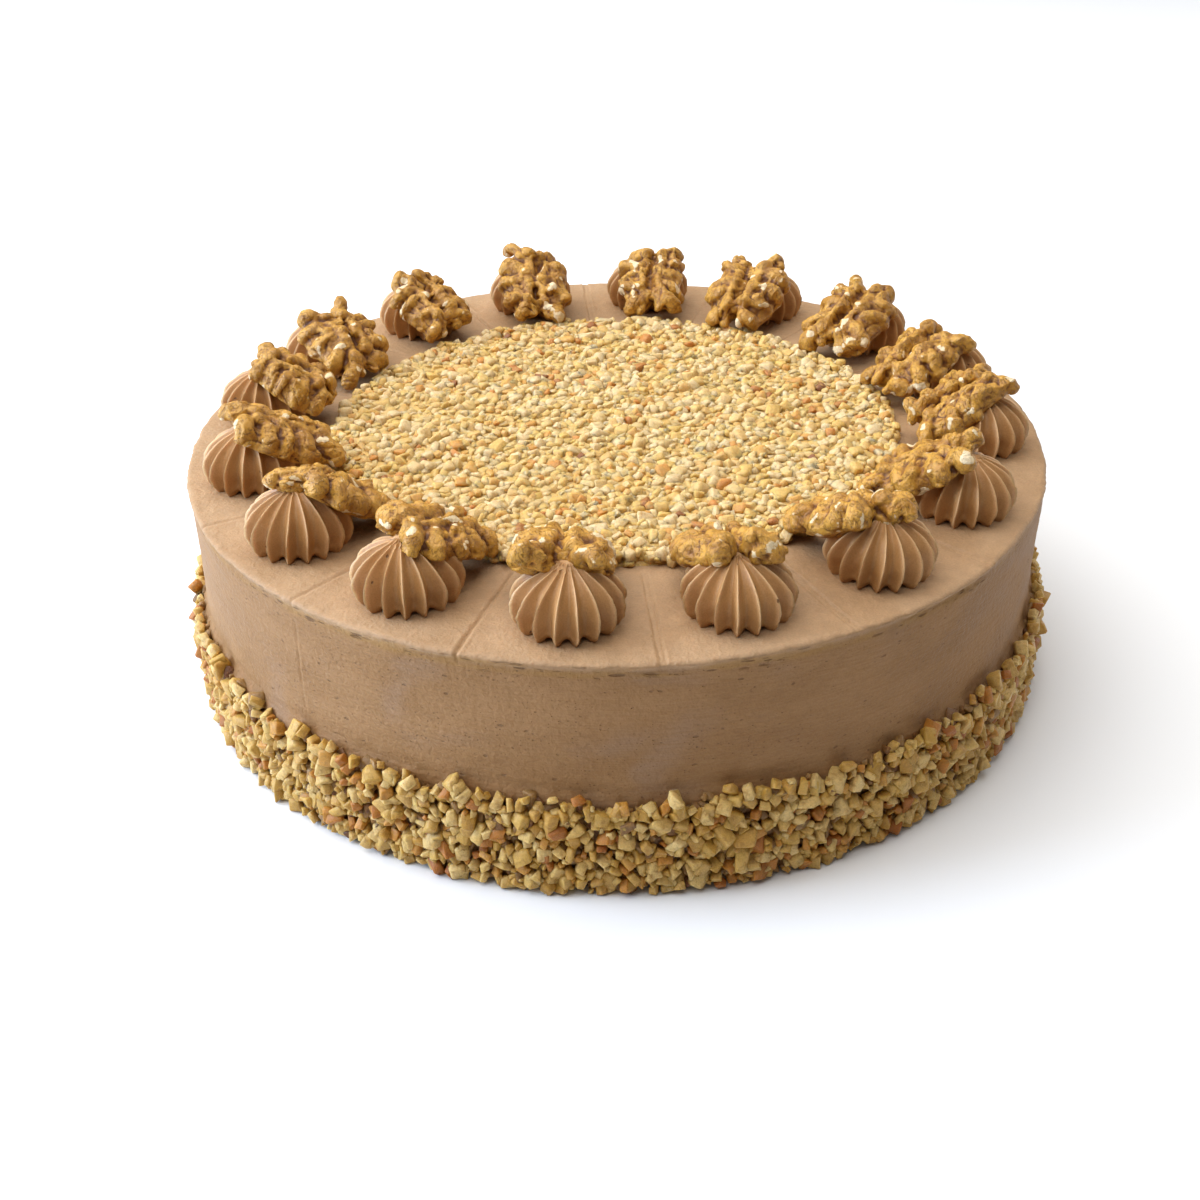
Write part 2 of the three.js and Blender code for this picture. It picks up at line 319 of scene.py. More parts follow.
def sideOut(x, y, z, cos, sin, azimuth):  # how much an uneven place of the side stands out
    s = frosting
    below = s["height"] - z
    out = sum(height * wave(x / wide, y / wide, z / tall) for height, wide, tall in s["sideRelief"])
    out += s["sideStreaks"] * wave(16 * cos, 16 * sin, z / 1.3)
    out += bell(below - 0.7, 0.8) * (s["lip"] + s["lipWaves"] * wave(26 * cos, 26 * sin, 2.5))
    out += s["lipGrain"] * bell(below - 0.8, 1.1) * wave(60 * cos, 60 * sin, z / 1.5)
    out -= lineDownSide(azimuth, z)
    smeared = max(0.0, 0.35 + 1.2 * wave(6 * cos, 6 * sin, 1.5))
    out -= s["smear"] * smeared * bell(below - 2.4 - 0.6 * wave(9 * cos, 9 * sin, 4), 0.6)
    out -= s["dents"] * max(0.0, wave(13 * cos, 13 * sin, z / 0.9)) * bell(below - 4, 2)
    if below < 5:  # a portion mark ends in a notch in the rim
        out -= 0.8 * max(0.0, markDepth(azimuth, s["radius"])) * bell(below, 2.5)
    covered = ramp(-0.8, 1.2, bandEdge(azimuth) - z)
    return out + covered * (s["bandBulge"] + 0.9 * wave(x / 2.6, y / 2.6, z / 2.6))


def makeFrosting():
    s = frosting
    bm = turned(frostingOutline(), s["columns"], portions["count"])
    firstMark = portions["firstAzimuth"] + portionAngle / 2
    flatTo = s["radius"] - s["rim"]
    for v in bm.verts:
        x, y, z = v.co
        radius = math.hypot(x, y)
        if radius < s["nutsTo"] - 10 or z < 0.01:
            continue
        azimuth = azimuthOf(x, y)
        beside = math.radians(portions["count"] * (azimuth - firstMark))
        azimuth -= math.degrees(s["crowding"] * math.sin(beside) / portions["count"])
        place = onCircle(azimuth, radius, z)
        cos, sin = math.cos(math.radians(azimuth)), math.sin(math.radians(azimuth))
        below = s["height"] - z
        lift, out = 0.0, 0.0
        if below < s["rim"]:
            lift = topLift(place.x, place.y, cos, sin, radius, azimuth) * (1 - below / s["rim"])
        if radius > flatTo - 0.1:
            out = sideOut(place.x, place.y, z, cos, sin, azimuth)
            out *= ramp(flatTo - 0.1, flatTo + 0.2, radius)
        v.co = onCircle(azimuth, radius + out, z + lift)
    return bm


def buttercreamFinish():
    s = frosting
    material, tree, shader = newFinish("buttercream", Roughness=0.5, Subsurface_Weight=0.12,
                                       Subsurface_Radius=(1.0, 0.55, 0.3), Subsurface_Scale=0.003,
                                       Specular_IOR_Level=0.2)

    def under(distance):  # a height that many mm under the top, in metres
        return (s["height"] - distance) * milli

    place = addNode(tree, "ShaderNodeTexCoord").outputs["Object"]
    level = addNode(tree, "ShaderNodeSeparateXYZ", {0: place}).outputs[2]
    blotches = grainOf(tree, perMillimetre(30, 30, 16), 4, 0.6)
    blotch = remap(tree, blotches, 0.35, 0.65)
    streaks = grainOf(tree, perMillimetre(16, 16, 0.7), 3)
    onSide = remap(tree, level, under(1), under(3.5))
    above = blendColours(tree, blotch, s["dark"], s["light"])
    # the side is painted darker and more saturated than the top: painted shade
    around = blendColours(tree, blotch, s["shadedSideDark"], s["shadedSideLight"])
    mauve = remap(tree, grainOf(tree, perMillimetre(42, 42, 26), 2, 0.5), 0.5, 0.66, 0, 0.7)
    around = blendColours(tree, mauve, around, s["mauve"])
    colour = blendColours(tree, onSide, above, around)
    streakShare = calculate(tree, "MULTIPLY", remap(tree, streaks, 0.45, 0.7, 0, 0.45), onSide)
    colour = blendColours(tree, streakShare, colour, s["shadedSideDark"])
    underRim = calculate(tree, "MULTIPLY", remap(tree, level, under(5), under(3)),
                         remap(tree, level, under(0.5), under(1.5)))
    patchy = remap(tree, grainOf(tree, perMillimetre(12, 12, 2), 3), 0.35, 0.6, 0, 0.6)
    colour = blendColours(tree, calculate(tree, "MULTIPLY", underRim, patchy), colour, s["tan"])
    # air holes on the side, and wider pits under the rim, painted dark inside as shade
    holes = spotsOf(tree, perMillimetre(2.2, 2.2, 1.1), 0.05, 0.32)
    crowd = remap(tree, grainOf(tree, perMillimetre(35, 35, 14), 2), 0.38, 0.6, 0.15, 1)
    fineHoles = spotsOf(tree, perMillimetre(1.0, 1.0, 0.65), 0.22, 0.32)
    fineHoles = calculate(tree, "MULTIPLY", fineHoles, crowd)
    holes = calculate(tree, "MULTIPLY", calculate(tree, "MAXIMUM", holes, fineHoles), onSide)
    pits = calculate(tree, "MULTIPLY", spotsOf(tree, perMillimetre(4.6, 4.6, 0.9), 0.45, 0.45), underRim)
    colour = blendColours(tree, calculate(tree, "MULTIPLY", holes, 0.42), colour, s["holeShade"])
    colour = blendColours(tree, calculate(tree, "MULTIPLY", pits, 0.55), colour, s["holeShade"])
    holes = calculate(tree, "MAXIMUM", holes, pits)
    fine = grainOf(tree, perMillimetre(0.55), 3)
    brushed = grainOf(tree, perMillimetre(3.5, 3.5, 0.6), 3)
    colour = shaded(tree, shaded(tree, colour, fine, 0.94, 1.06), brushed, 0.95, 1.05)
    tree.links.new(colour, shader.inputs["Base Color"])
    tree.links.new(remap(tree, blotches, 0.3, 0.7, 0.50, 0.66), shader.inputs["Roughness"])
    # the relief of all this
    height = calculate(tree, "SUBTRACT", calculate(tree, "MULTIPLY", fine, 0.30), holes)
    granules = calculate(tree, "MULTIPLY", grainOf(tree, perMillimetre(1.6), 2, 0.3), 0.9)
    height = calculate(tree, "ADD", height, granules)
    streakHeight = calculate(tree, "MULTIPLY", calculate(tree, "ADD", streaks, brushed), onSide)
    height = calculate(tree, "ADD", height, calculate(tree, "MULTIPLY", streakHeight, 0.35))
    raised(tree, shader, height, 0.4)
    return material


addPiece(makeFrosting(), "frosting", buttercreamFinish(), ["cake"])
print("frosting done")


# Chopped nuts, in a disc on top and in a band round the foot.

choppedNuts = {
    "shapes": 12, "sizeSpread": 0.34, "jitter": 0.36, "coarseShare": 0.5, "rowShare": 0.87,
    "size": 2.85, "discRadius": 87.2, "discPitch": 2.8, "discLayers": [71.7, 72.7], "discFlat": 0.82,
    "bandSize": 2.75, "bandPitch": 2.8, "bandLayers": [131.4, 133.2], "bandRows": 14, "lowestRow": 1.7,
    "bandGaps": 0.12, "bandEdgeStray": (-1.6, 1.8),
    "bedInset": 3.4, "bedTop": 72.75, "bedFoot": 69.5, "bedRows": 43, "bedEdgeDrop": 2.2,
    # the bed's colour is a painted warm glow in the shade between the chips
    "gapGlowColour": (0.66, 0.42, 0.13),
}
# how a chip is broken: how far its corners stray, how much its edges are rounded, how long and how
# thin it may be
roundedChip = {"corner": 0.17, "edge": 0.12, "long": 1.22, "thin": 0.75, "soften": 0.4}
sharpChip = {"corner": 0.18, "edge": 0.085, "long": 1.28, "thin": 0.6, "soften": 0.15}
# a chip has a tone from 0 to 1, and each tone its colour: tone, red, green, blue
palePieces = [
    (0.0, 0.60, 0.43, 0.20), (0.22, 0.65, 0.48, 0.25), (0.40, 0.61, 0.40, 0.13),
    (0.58, 0.59, 0.37, 0.095), (0.74, 0.62, 0.44, 0.19), (0.90, 0.57, 0.31, 0.07),
    (0.98, 0.50, 0.20, 0.035), (1.0, 0.20, 0.07, 0.02),
]
paleToast = (0.56, 0.33, 0.09, 1)
# the lower layer of the disc keeps to the more orange tones: painted warm shade between the chips
underWarmShadeTones = (0.42, 0.92)  # the lower layer of the disc
# the band's chips: a darker, more orange copy of the nut colours, painted shade of the band; from tone
# 0.72 on darker still, for the inner layer
shadedFootPieces = [
    (0.0, 0.47, 0.265, 0.045), (0.16, 0.64, 0.435, 0.160), (0.26, 0.60, 0.385, 0.11),
    (0.38, 0.42, 0.215, 0.028), (0.50, 0.54, 0.325, 0.070), (0.60, 0.46, 0.19, 0.020),
    (0.68, 0.33, 0.10, 0.010), (0.72, 0.20, 0.10, 0.028), (0.88, 0.30, 0.16, 0.045),
    (1.0, 0.14, 0.045, 0.010),
]
shadedFootToast = (0.40, 0.19, 0.035, 1)
# the inner layer is painted darker: partly cream on its chips, partly painted shade behind the outer
# layer
innerCreamAndShadeTones, outerTones = (0.72, 1), (0, 0.68)  # the two layers of the band


def chipShape(draw, broken, cuts):  # a piece of nut about one unit across
    bm = bmesh.new()
    bmesh.ops.create_cube(bm, size=1)
    for v in bm.verts:
        v.co += Vector([draw.uniform(-1, 1) * broken["corner"] for axis in range(3)])
    for cut in range(cuts):
        normal = Vector([draw.gauss(0, 1) for axis in range(3)]).normalized()
        result = bmesh.ops.bisect_plane(bm, geom=bm.verts[:] + bm.edges[:] + bm.faces[:],
                                        plane_co=normal * draw.uniform(0.28, 0.45), plane_no=normal,
                                        clear_outer=True)
        cutEdges = [g for g in result["geom_cut"] if isinstance(g, bmesh.types.BMEdge)]
        if cutEdges:
            bmesh.ops.edgeloop_fill(bm, edges=cutEdges)
    extent = Vector((draw.uniform(1.0, broken["long"]), draw.uniform(0.8, 1.1),
                     draw.uniform(broken["thin"], 0.9)))
    bmesh.ops.scale(bm, vec=extent, verts=bm.verts[:])
    bmesh.ops.bevel(bm, geom=bm.edges[:], offset=broken["edge"], segments=1, profile=0.5, affect="EDGES",
                    material=-1, clamp_overlap=True)
    if broken["soften"] > 0:
        bmesh.ops.smooth_vert(bm, verts=bm.verts[:], factor=broken["soften"], use_axis_x=True,
                              use_axis_y=True, use_axis_z=True)
    bmesh.ops.recalc_face_normals(bm, faces=bm.faces[:])
    mesh = bpy.data.meshes.new("chip")
    bm.to_mesh(mesh)
    bm.free()
    mesh.attributes.new("tone", "FLOAT", "POINT")
    return mesh


def addChip(bm, shapes, place, size, flat, tone, draw):  # one of the shapes, turned at random
    chip = draw.choice(shapes)
    chip.attributes["tone"].data.foreach_set("value", [tone] * len(chip.vertices))
    turn = Euler([draw.uniform(0, fullTurn) for axis in range(3)]).to_matrix().to_4x4()
    move = Matrix.Translation(place) @ Matrix.Diagonal((1, 1, flat, 1)) @ turn @ Matrix.Scale(size, 4)
    chip.transform(move)
    lowest = min(v.co.z for v in chip.vertices)
    if lowest < 0:  # it would stick out under the torte
        lifted = Matrix.Translation((0, 0, 0.05 - lowest))
        move = lifted @ move
        chip.transform(lifted)
    bm.from_mesh(chip)
    chip.transform(move.inverted())


def chipSize(usual, draw):
    return usual * math.exp(choppedNuts["sizeSpread"] * max(-1.5, min(1.7, draw.gauss(0, 0.8))))


def makeDiscNuts(draw):
    s = choppedNuts
    shapes = [chipShape(draw, roundedChip, i % 3) for i in range(s["shapes"])]
    coarse, fine = bmesh.new(), bmesh.new()
    pitch = s["discPitch"]
    reach = math.ceil(s["discRadius"] / pitch) + 2
    for layer, level in enumerate(s["discLayers"]):
        for row in range(-reach, reach + 1):
            for column in range(-reach, reach + 1):
                x = pitch * (column + 0.5 * (row % 2) + 0.25 * layer + s["jitter"] * draw.uniform(-1, 1))
                y = pitch * (s["rowShare"] * row + 0.4 * layer + s["jitter"] * draw.uniform(-1, 1))
                size = chipSize(s["size"], draw)
                if math.hypot(x, y) > s["discRadius"] + 0.9 * wave(x / 9, y / 9, 2) - 0.5 * layer:
                    continue
                z = level + 0.35 * draw.uniform(-1, 1) + 0.35 * wave(x / 12, y / 12)
                target = coarse if draw.random() < s["coarseShare"] else fine
                tone = draw.random() if layer else draw.uniform(*underWarmShadeTones)
                addChip(target, shapes, Vector((x, y, z)), size, s["discFlat"], tone, draw)
    return coarse, fine, shapes


def makeBandNuts(draw):
    s = choppedNuts
    shapes = [chipShape(draw, sharpChip, i % 3) for i in range(s["shapes"])]
    coarse, fine = bmesh.new(), bmesh.new()
    pitch = s["bandPitch"]
    for layer, distance in enumerate(s["bandLayers"]):
        columns = round(fullTurn * distance / pitch)
        for row in range(s["bandRows"]):
            for column in range(columns):
                shift = 0.5 * (row % 2) + 0.3 * layer + s["jitter"] * draw.uniform(-1, 1)
                azimuth = 360 * (column + shift) / columns
                z = s["lowestRow"] + pitch * s["rowShare"] * (row + s["jitter"] * draw.uniform(-1, 1))
                size = chipSize(s["bandSize"], draw) * (1.06 if layer else 0.95)
                if z > bandEdge(azimuth) + draw.uniform(*s["bandEdgeStray"]) - (0.8 if layer else 2.2):
                    continue
                if layer and draw.random() < s["bandGaps"]:
                    continue
                out = distance + 0.6 * draw.uniform(-1, 1)
                target = coarse if draw.random() < s["coarseShare"] else fine
                tone = draw.uniform(*(outerTones if layer else innerCreamAndShadeTones))
                addChip(target, shapes, onCircle(azimuth, out, z), size, 1, tone, draw)
    return coarse, fine, shapes


def choppedNutFinish(name, stops, toast, glow):
    material, tree, shader = newFinish(name, Subsurface_Weight=glow, Subsurface_Radius=(0.9, 0.95, 1.0),
                                       Subsurface_Scale=0.0022, Specular_IOR_Level=0.4)
    tone = attribute(tree, "tone")
    colours = addNode(tree, "ShaderNodeValToRGB", {0: tone})
    elements = colours.color_ramp.elements
    for element, (position, *colour) in zip(elements, stops[:2]):
        element.position = position
        element.color = (*colour, 1)
    for position, *colour in stops[2:]:
        elements.new(position).color = (*colour, 1)
    mottle = grainOf(tree, perMillimetre(1.5), 3, 0.6)
    toasted = remap(tree, mottle, 0.52, 0.72, 0, 0.6)
    colour = blendColours(tree, toasted, colours.outputs["Color"], toast)
    fine = grainOf(tree, perMillimetre(0.35), 2)
    colour = shaded(tree, shaded(tree, colour, mottle, 1.08, 0.92), fine, 0.9, 1.08)
    tree.links.new(colour, shader.inputs["Base Color"])
    tree.links.new(remap(tree, mottle, 0.3, 0.7, 0.34, 0.56), shader.inputs["Roughness"])
    raised(tree, shader, calculate(tree, "ADD", mottle, fine), 0.2)
    return material


# the bed's orange colour is a painted warm glow in the shade between the disc's chips
def makeDiscBed():  # what shows between the nuts of the disc
    s = choppedNuts
    rows = s["bedRows"]
    radius = s["discRadius"] - s["bedInset"]
    outline = [(radius * i / rows, s["bedTop"] - s["bedEdgeDrop"] * ramp(rows - 2, rows, i))
               for i in range(rows + 1)]
    outline += [(radius, s["bedFoot"]), (0, s["bedFoot"])]
    bm = turned(outline, 240, portions["count"])
    for v in bm.verts:
        if v.co.z > s["bedFoot"] + 0.5 and math.hypot(v.co.x, v.co.y) < radius - 3:
            v.co.z += 0.6 * wave(v.co.x / 1.9, v.co.y / 1.9)
    return bm


gapGlowColour = choppedNuts["gapGlowColour"]
paleNuts = choppedNutFinish("pale chopped nuts", palePieces, paleToast, 0.8)
# the band's finish, its nut colours painted darker and more orange as shade
shadedFootNuts = choppedNutFinish("chopped nuts with painted shade", shadedFootPieces, shadedFootToast, 0.45)
# the bed's finish: a painted warm glow between the chips
gapGlowFinish = choppedNutFinish("painted glow between nuts", [(0, *gapGlowColour), (1, *gapGlowColour)], (*gapGlowColour, 1), 0.6)
discCoarse, discFine, discShapes = makeDiscNuts(random.Random(17))
footCoarse, footFine, footShapes = makeBandNuts(random.Random(29))
for name, bm, finish in [("discNutsCoarse", discCoarse, paleNuts),
                         ("discNutsFine", discFine, paleNuts),
                         ("discGlowBed", makeDiscBed(), gapGlowFinish),
                         ("footNutsCoarse", footCoarse, shadedFootNuts),
                         ("footNutsFine", footFine, shadedFootNuts)]:
    addPiece(bm, name, finish, ["cake"])
for mesh in discShapes + footShapes:
    bpy.data.meshes.remove(mesh)
print("chopped nuts done")


# Piped rosettes.

rosette = {
    "radius": 14.9, "height": 17.5, "circle": 110.5, "ridges": 16, "columns": 192, "rows": 26,
    "crowding": 0.5, "valley": 0.27, "baseValley": 0.17, "tipValley": 0.32, "twist": 7, "lean": 1.0,
    "arch": 1.1, "serration": 0.2, "sunk": 0.1, "tipFrom": 0.93, "tipSway": (0.5, 0.5, 0.9),
    "flatTipped": [0, 3, 13], "flatAt": 0.97, "flatWider": 0.9,
    # light is the colour of a painted highlight along the ridges' crests
    "light": (0.62, 0.37, 0.17, 1), "body": (0.425, 0.214, 0.074, 1), "deep": (0.30, 0.138, 0.042, 1),
    # the hole colour is painted shade inside the air holes
    "holeShade": (0.10, 0.05, 0.02, 1),
}
# stretches of the outline over the ridges: point, its pull, the next point's pull, next point
rosetteStretches = [
    [(0.84, 0), (0.93, 0.08), (1.0, 0.21), (1.0, 0.34)],
    [(1.0, 0.34), (1.0, 0.60), (0.64, 0.86), (0.11, 0.96)],
]


def rosetteOutline():
    s = rosette
    points = [Vector((0, 0)), Vector((0.42, 0))]
    for stretch in rosetteStretches:
        flat = [Vector((r, z, 0)) for r, z in stretch]
        points += [p.xy for p in interpolate_bezier(*flat, s["rows"])[:-1]]
    points += [Vector((0.11, 0.96)), Vector((0.08, 0.99)), Vector((0, 1.0))]
    return [(p.x * s["radius"], p.y * s["height"]) for p in points]


def rosetteCut(share, fromCrest, own):  # how deep a place lies, as a share of the radius
    s = rosette
    depth = s["valley"] + (s["baseValley"] - s["valley"]) * ramp(0.25, 0.0, share)
    depth += (s["tipValley"] - s["valley"]) * ramp(0.6, 0.95, share)
    depth *= 1 + 0.25 * own
    return depth * fromCrest ** (0.75 + 0.6 * ramp(0.2, 0.0, share))


def makeRosette(n):
    s = rosette
    draw = random.Random(200 + n)
    flatTipped = n in s["flatTipped"]
    bm = turned(rosetteOutline(), s["columns"], s["ridges"])
    crestHighlight = bm.verts.layers.float.new("crestHighlight")
    turn = math.radians(s["twist"]) * draw.uniform(0.3, 1.5)
    leanX, leanY = draw.uniform(-1, 1) * s["lean"], draw.uniform(-1, 1) * s["lean"]
    tall = draw.uniform(0.97, 1.02)
    start = draw.uniform(0, fullTurn)
    azimuth = portions["firstAzimuth"] + portionAngle * n
    base = onCircle(azimuth, s["circle"], frosting["height"] - s["sunk"])
    for v in bm.verts:
        x, y, z = v.co
        radius = math.hypot(x, y)
        if radius < 1e-4 and z < 1:
            v.co = base
            continue
        share = z / s["height"]
        a = math.atan2(y, x)
        around = s["ridges"] * a  # a whole turn from one ridge to the next
        a -= s["crowding"] * math.sin(around) / s["ridges"]
        around = s["ridges"] * a
        fromCrest = abs(math.sin(around / 2))  # 0 on a ridge, 1 in the valley
        ridge = round(around / fullTurn) % s["ridges"]
        cut = rosetteCut(share, fromCrest, wave(ridge * 3.7, n * 5.1, 0.5))
        edge = bell(fromCrest, 0.16)
        uneven = 0.018 * wave(ridge * 2.3, share * 4, n)
        uneven += s["serration"] / s["radius"] * edge * wave(ridge * 5.7, share * 16, n * 2.1)
        radius *= 1 - cut + uneven
        radius += 0.12 * wave(x / 2, y / 2, z / 2)
        z += s["arch"] * ramp(0.35, 1.0, fromCrest) * bell(share, 0.13) * (1 if radius > 1 else 0)
        z *= tall
        if flatTipped and radius > 0.01:
            radius += s["flatWider"] * ramp(0.88, 0.97, share)
        a += start + turn * share + math.radians(1.4) * wave(ridge * 1.9, share * 3, n * 3.3)
        bent = share ** 2
        place = Vector((radius * math.cos(a) + leanX * bent, radius * math.sin(a) + leanY * bent, z))
        if share > s["tipFrom"]:
            sway = Vector((wave(x, y, n), wave(y, x, n + 7), wave(x / 2, y / 2, n + 3)))
            place += sway * Vector(s["tipSway"])
            place.z = min(place.z, s["flatAt"] * s["height"]) if flatTipped else place.z
        v.co = place
        # where the painted highlight along the crests goes
        v[crestHighlight] = edge * ramp(0.02, 0.15, share + 0.05)
    spin = Matrix.Translation(base) @ Matrix.Rotation(math.radians(azimuth - 90), 4, "Z")
    for v in bm.verts:
        if (v.co - base).length > 1e-6:
            v.co = spin @ v.co
    return bm


def pipedFinish():
    s = rosette
    material, tree, shader = newFinish("piped cream", Subsurface_Weight=0.12,
                                       Subsurface_Radius=(1.0, 0.55, 0.3), Subsurface_Scale=0.002,
                                       Specular_IOR_Level=0.4)
    crestHighlight = attribute(tree, "crestHighlight")
    blotches = grainOf(tree, perMillimetre(7), 3, 0.4)
    colour = blendColours(tree, remap(tree, blotches, 0.3, 0.7, 0.75, 1), s["deep"], s["body"])
    # a painted highlight along the crests
    colour = blendColours(tree, crestHighlight, colour, s["light"])
    holes = spotsOf(tree, perMillimetre(1.9), 0.06, 0.22)
    # the holes are painted dark: painted shade inside them
    colour = blendColours(tree, calculate(tree, "MULTIPLY", holes, 0.7), colour, s["holeShade"])
    fine = grainOf(tree, perMillimetre(0.4), 3)
    tree.links.new(shaded(tree, colour, fine, 0.92, 1.06), shader.inputs["Base Color"])
    tree.links.new(remap(tree, blotches, 0.3, 0.7, 0.42, 0.56), shader.inputs["Roughness"])
    height = calculate(tree, "SUBTRACT", calculate(tree, "MULTIPLY", fine, 0.4), holes)
    raised(tree, shader, height, 0.35)
    return material


piped = pipedFinish()
for n in range(portions["count"]):
    addPiece(makeRosette(n), f"pipedRosette{n + 1:02d}", piped, [f"rosette_{n + 1:02d}"])
print("rosettes done")


# Walnut halves.

walnut = {
    "length": 34, "width": 27.5, "voxel": 0.45, "circle": 99.5, "above": 9.0,
    "core": (14, 6.9, 5.2), "coreAside": 4.9, "coreUp": 1.3,  # the plain body of each half
    "ridge": 1.9, "ridgeApart": 3.2, "ridgeTop": 6.1, "endDrop": 3.2, "ridgeLump": 2.6, "joinLump": 2.4,
    "roll": 2.1, "bulb": 2.65, "besideShare": 0.4,
    "lobes": [12.8, 6.9, 0.8, -5.4, -11.8],  # where the lobes leave the middle ridge
    "knobs": 4, "knobSize": (1.5, 2.5), "bend": 2.3, "bareShare": 0.038,
    # the paler skin colour serves both the skin's paler patches and a painted highlight on the proud
    # places
    "skin": (0.34, 0.142, 0.016, 1), "skinPaleAndHighlight": (0.57, 0.290, 0.044, 1),
    # the crease colour is partly the skin's darker colour in the creases and partly painted shade
    "creaseSkinAndShade": (0.13, 0.040, 0.004, 1), "vein": (0.14, 0.046, 0.006, 1), "flesh": (0.80, 0.62, 0.37, 1),
}
# how each walnut lies, from the front one on: moved outward, aside and up, turned and sloped in
# degrees, and its size
walnutSeats = [
    (0, -2.5, 0, 3, 26, 1.08), (1, 1.5, 0, -8, 26, 1.04), (1.4, -1, 0, -14, 28, 1.06),
    (1.5, -3, 0, 4, 30, 1), (4.2, 0, 2, 28, 26, 0.96), (0.5, -3, 0, 12, 27, 0.98),
    (2, -3, 0, 14, 24, 1.03), (-1, 0, 0, 4, 25, 1.02), (1, -3, 0, 0, 25, 0.97),
    (0.6, 0.2, 0.6, -6, 27, 1), (2, 3.2, 1.3, 4, 30, 0.93), (2.5, 3, 0, -22, 30, 0.95),
    (2.7, 0, 1.6, -4, 26, 0.95), (2.4, -0.4, 1.1, 6, 26, 0.98), (1, 0, 0, 16, 32, 1),
    (-1, 0, 0, -12, 26, 1),
]


def fused(bm, voxel):  # one skin round lumps that run into each other
    mesh = bpy.data.meshes.new("lumps")
    bm.to_mesh(mesh)
    bm.free()
    lumps = bpy.data.objects.new("lumps", mesh)
    bpy.context.scene.collection.objects.link(lumps)
    skin = lumps.modifiers.new("skin", "REMESH")
    skin.mode = "VOXEL"
    skin.voxel_size = voxel
    whole = bpy.data.meshes.new_from_object(lumps.evaluated_get(bpy.context.evaluated_depsgraph_get()))
    bm = bmesh.new()
    bm.from_mesh(whole)
    bpy.data.objects.remove(lumps)
    bpy.data.meshes.remove(mesh)
    bpy.data.meshes.remove(whole)
    return bm


def addLump(bm, place, radius):
    bmesh.ops.create_icosphere(bm, subdivisions=2, radius=radius, matrix=Matrix.Translation(place))


def addRoll(bm, path, size, endSize, draw):  # a rounded fold: lumps strung along a curve
    steps = 14
    swell = draw.uniform(0, 50)
    for i, place in enumerate(interpolate_bezier(*[Vector(p) for p in path], steps)):
        share = i / (steps - 1)
        radius = (size + (endSize - size) * share) * (1 + 0.22 * wave(swell + 3 * share, swell))
        addLump(bm, place, radius)


def walnutLumps(draw):
    s = walnut
    bm = bmesh.new()
    half, reach = s["length"] / 2, s["width"] / 2
    core = Vector(s["core"])

    def stray(size):
        return size * draw.uniform(-1, 1)

    for side in (-1, 1):
        middle = Vector((0, side * s["coreAside"], s["coreUp"]))
        bmesh.ops.create_icosphere(bm, subdivisions=4, radius=1,
                                   matrix=Matrix.Translation(middle) @ Matrix.Diagonal(core.to_4d()))
        top = s["ridgeTop"] + stray(0.5)
        apart = side * (s["ridgeApart"] + stray(0.4))
        low = top - s["endDrop"]
        path = [(half - 3.2, apart * 1.2, low), (half / 3, apart + stray(1.6), top + 1.5),
                (-half / 3, apart + stray(1.6), top + 1.5), (-half + 3, apart, low)]
        addRoll(bm, path, s["ridge"], s["ridge"], draw)
        for along in (0.62, 0.05, -0.5):
            place = Vector((along * half + stray(2), apart + stray(1), top + 0.4 - 2 * along ** 2))
            addLump(bm, place, s["ridgeLump"] + stray(0.4))
        for along in (-0.5, 0.0, 0.5):  # what joins the two halves
            place = Vector((along * half + stray(1.5), side * 1.3 + stray(0.6), 3.4 + stray(0.8)))
            addLump(bm, place, s["joinLump"] + stray(0.4))
        for start in s["lobes"]:
            x = start + stray(1.0)
            out = (reach - s["bulb"]) * math.sqrt(max(0.12, 1 - (x / (half + 0.5)) ** 2)) + stray(0.9)
            out = max(out, 5.5)
            size = s["roll"] * draw.uniform(0.8, 1.1)
            bulb = s["bulb"] * draw.uniform(0.8, 1.15)
            sweep = stray(2.2)
            end = Vector((x * 1.1 + sweep, side * out, 1.6 + stray(1)))
            path = [(x * 0.8, apart, top - 0.8 - abs(x) * 0.15),
                    (x - sweep, side * (0.5 * out + 1.2), top + 0.5 - abs(x) * 0.13),
                    (end.x, side * out * 0.95, 5.4 + stray(1)), end]
            addRoll(bm, path, size, bulb, draw)
            if draw.random() < s["besideShare"]:
                beside = Vector((stray(2.4), -side * draw.uniform(0, 2), draw.uniform(1.2, 2.6)))
                addLump(bm, end + beside, bulb * draw.uniform(0.55, 0.8))
        for i in range(s["knobs"]):
            x, y = stray(0.85), stray(0.75)
            rise = core.z * math.sqrt(1 - 0.9 * x * x - y * y * 0.6)
            addLump(bm, middle + Vector((x * core.x, y * core.y, rise)), draw.uniform(*s["knobSize"]))
    return bm


def smoothed(bm, times):
    for step in range(times):
        bmesh.ops.smooth_vert(bm, verts=bm.verts[:], factor=0.5, use_axis_x=True, use_axis_y=True,
                              use_axis_z=True)
    return bm


def wrinkleOf(place, seed):  # how far the skin of a walnut stands out of its smooth form
    x, y, z = place
    wrinkle = 0.30 * wave(x / 3.6, y / 3.6, z / 3.6 + seed)
    wrinkle += 0.07 * wave(x / 1.5, y / 1.5, z / 1.5 + seed)
    wrinkle += 0.30 * bell(wave(x / 8, y / 5, z / 5 + seed + 60), 0.14) - 0.1
    wrinkle -= 0.34 * bell(wave(x / 6, y / 6, z / 6 + seed + 30), 0.06)
    return wrinkle - 0.18 * bell(wave(x / 4.2, y / 4.2, z / 4.2 + seed + 90), 0.06)


